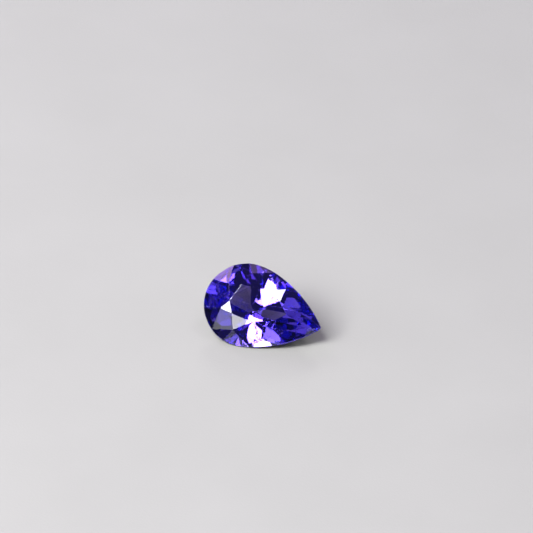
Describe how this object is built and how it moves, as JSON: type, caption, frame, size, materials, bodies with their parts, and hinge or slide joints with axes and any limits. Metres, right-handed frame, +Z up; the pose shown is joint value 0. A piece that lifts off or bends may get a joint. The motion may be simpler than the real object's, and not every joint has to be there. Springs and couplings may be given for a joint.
{
  "type": "pear-cut sapphire gemstone",
  "caption": "Loose faceted blue-violet sapphire, pear brilliant cut, lying tilted on one flat facet of its pavilion.",
  "frame": {"origin": "on the ground, under the middle of the stone's bounding box", "axes": "+Z up, +X along the length of the stone from its round head to its point, -Y the side that the table leans towards"},
  "size_m": [0.007, 0.0038, 0.0034],
  "materials": {
    "sapphire": "polished clear crystal, blue violet, with a finely ground girdle"
  },
  "bodies": {
    "root": {"sapphire": "sapphire"}
  },
  "joints": []
}
